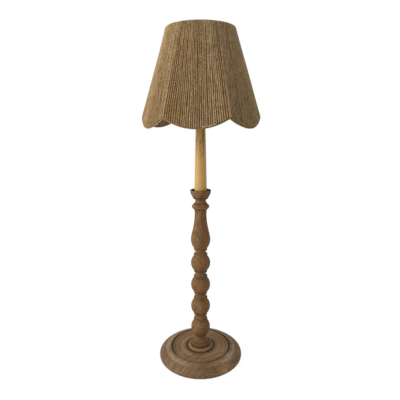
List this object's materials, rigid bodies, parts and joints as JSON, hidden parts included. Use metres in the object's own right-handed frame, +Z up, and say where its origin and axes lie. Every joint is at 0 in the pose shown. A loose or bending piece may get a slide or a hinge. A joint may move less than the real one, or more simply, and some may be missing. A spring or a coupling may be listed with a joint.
{
  "type": "candlestick floor lamp",
  "caption": "Floor lamp with a dished round base, bobbin-turned column, vase and drip cup, tall tapered candle sleeve and a scalloped twine shade on a harp.",
  "frame": {"origin": "on the floor, under the axis of the column", "axes": "+Z up along the column, -Y to the front (towards the viewer of the picture), +X to its right"},
  "size_m": [0.4938, 0.4698, 1.4186],
  "materials": {
    "wood": "weathered brown, rubbed with a thin grey wash, dull",
    "candle": "turned wood painted cream, waxed, browned towards the top",
    "twine": "twisted natural twine, matt",
    "trim_cord": "thicker twisted natural cord, matt",
    "frame_wire": "thin dull paint on wire",
    "brass": "satin, slightly dulled",
    "steel": "zinc plated",
    "iron": "raw casting",
    "felt": "pressed felt",
    "hardboard": "pressed board, smooth",
    "black_plastic": "moulded",
    "ivory_plastic": "moulded",
    "lead_sheath": "sheathed lead",
    "phenolic": "moulded, heat resistant",
    "liner": "pressed card tube",
    "glass": "clear thin glass",
    "lamp_cap": "rolled thread",
    "black_glass": "fused insulator",
    "mount_glass": "drawn glass and fine wire"
  },
  "bodies": {
    "stand": {"foot_felt": "felt", "bottom_cover": "hardboard", "cover_screws": "steel", "ballast_plate": "iron", "ballast_screws": "steel", "base_disc": "wood", "inlet_bush": "black_plastic", "terminal_block": "ivory_plastic", "inner_lead": "lead_sheath", "lower_washer": "steel", "lower_nut": "steel", "stem_pipe": "steel", "column_foot": "wood", "bobbin_1": "wood", "bobbin_2": "wood", "bobbin_3": "wood", "bobbin_4": "wood", "vase_turning": "wood", "drip_cup": "wood", "candle_sleeve": "candle", "candle_cap": "brass", "top_nut": "brass", "harp_saddle": "brass", "harp": "brass", "socket_cap": "brass", "socket_shell": "brass", "socket_liner": "liner", "socket_core": "phenolic", "screw_shell": "brass", "centre_contact": "brass"},
    "shade": {"spider": "brass", "top_ring": "frame_wire", "rib_wires": "frame_wire", "hem_wire": "frame_wire", "hem_trim": "trim_cord", "twine_panel_1": "twine", "twine_panel_2": "twine", "twine_panel_3": "twine", "twine_panel_4": "twine", "twine_panel_5": "twine", "twine_panel_6": "twine"},
    "finial": {"finial": "brass"},
    "bulb": {"bulb_glass": "glass", "bulb_cap": "lamp_cap", "bulb_insulator": "black_glass", "bulb_mount": "mount_glass"},
    "switch_knob": {"switch_knob": "black_plastic"},
    "ferrule_left": {"ferrule_left": "brass"},
    "ferrule_right": {"ferrule_right": "brass"}
  },
  "joints": [
    {"name": "shade_turn", "type": "hinge", "parent": "stand", "child": "shade", "pos_m": [0, 0, 1.3873], "axis": [0, 0, 1], "continuous": true},
    {"name": "finial_turn", "type": "hinge", "parent": "stand", "child": "finial", "pos_m": [0, 0, 1.3873], "axis": [0, 0, 1], "continuous": true},
    {"name": "bulb_turn", "type": "hinge", "parent": "stand", "child": "bulb", "pos_m": [0, 0, 1.1632], "axis": [0, 0, 1], "continuous": true},
    {"name": "switch_turn", "type": "hinge", "parent": "stand", "child": "switch_knob", "pos_m": [0, -0.02, 1.1513], "axis": [0, -1, 0], "continuous": true},
    {"name": "ferrule_left_lift", "type": "slide", "parent": "stand", "child": "ferrule_left", "axis": [0, 0, 1], "range_m": [0, 0.015]},
    {"name": "ferrule_right_lift", "type": "slide", "parent": "stand", "child": "ferrule_right", "axis": [0, 0, 1], "range_m": [0, 0.015]}
  ]
}
